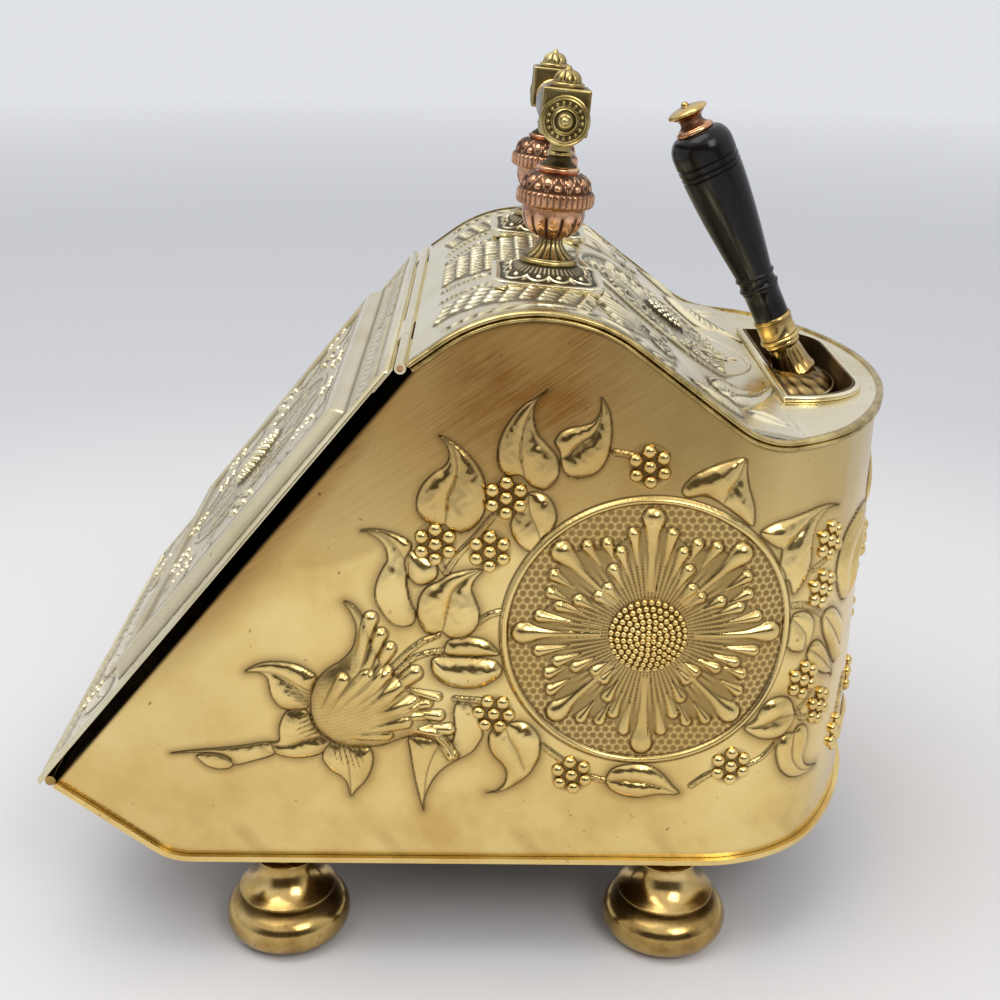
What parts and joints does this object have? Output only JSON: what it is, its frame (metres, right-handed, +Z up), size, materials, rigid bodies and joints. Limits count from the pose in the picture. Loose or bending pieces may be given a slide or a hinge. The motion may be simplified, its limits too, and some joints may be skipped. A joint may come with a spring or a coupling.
{
  "type": "coal scuttle",
  "caption": "Brass coal box with a slanting hinged lid, a carrying handle between urn posts, a shovel in a rear pocket and turned bun feet.",
  "frame": {"origin": "on the floor, in the middle of the scuttle's width and depth", "axes": "+Z up, +Y from the lid at the front to the rounded back, +X from the left side to the right side"},
  "size_m": [0.3016, 0.4432, 0.4566],
  "materials": {
    "brass": "pressed and chased sheet, aged and polished on the high places",
    "copper": "polished copper, darkened in the hollows",
    "ebonised_wood": "turned and ebonised, glossy polish",
    "steel": "plain steel, out of sight"
  },
  "bodies": {
    "body": {"right_wall": "brass", "left_wall": "brass", "right_wall_relief": "brass", "left_wall_relief": "brass", "back_seam_strap": "brass", "base_sheet": "brass", "base_seam": "brass", "top_sheet": "brass", "top_bead": "brass", "lip_wire": "brass", "right_mouth_hem": "brass", "left_mouth_hem": "brass", "pocket_rim": "brass", "pocket_sleeve": "brass", "pocket_floor": "brass", "top_hinge_leaf": "brass", "hinge_pin": "copper", "right_post_flange": "brass", "left_post_flange": "brass", "right_post_waist": "brass", "left_post_waist": "brass", "right_post_urn": "copper", "left_post_urn": "copper", "right_post_stem": "brass", "left_post_stem": "brass", "right_post_block": "brass", "left_post_block": "brass", "right_post_finial": "brass", "left_post_finial": "brass", "right_post_stud": "steel", "left_post_stud": "steel", "post_nuts": "steel", "handle_bar": "ebonised_wood", "handle_ferrules": "brass", "handle_rod": "steel", "right_handle_boss": "brass", "left_handle_boss": "brass", "front_right_foot": "brass", "front_left_foot": "brass", "back_right_foot": "brass", "back_left_foot": "brass", "foot_studs": "steel", "foot_nuts": "steel"},
    "lid": {"lid_hinge_leaf": "brass", "lid_sheet": "brass", "lid_rim": "brass", "lid_frame": "brass", "lid_panel": "brass"},
    "shovel": {"shovel_scoop": "brass", "shovel_heel": "brass", "shovel_socket": "brass", "shovel_ferrule": "brass", "shovel_grip": "ebonised_wood", "shovel_collar": "copper", "shovel_cap": "brass", "shovel_tang": "steel"}
  },
  "joints": [
    {"name": "lid_hinge", "type": "hinge", "parent": "body", "child": "lid", "pos_m": [0, -0.03489, 0.3276], "axis": [-1, 0, 0], "range_deg": [0, 144]},
    {"name": "shovel_lift", "type": "slide", "parent": "body", "child": "shovel", "axis": [0, 0, 1], "range_m": [0, 0.18]}
  ]
}
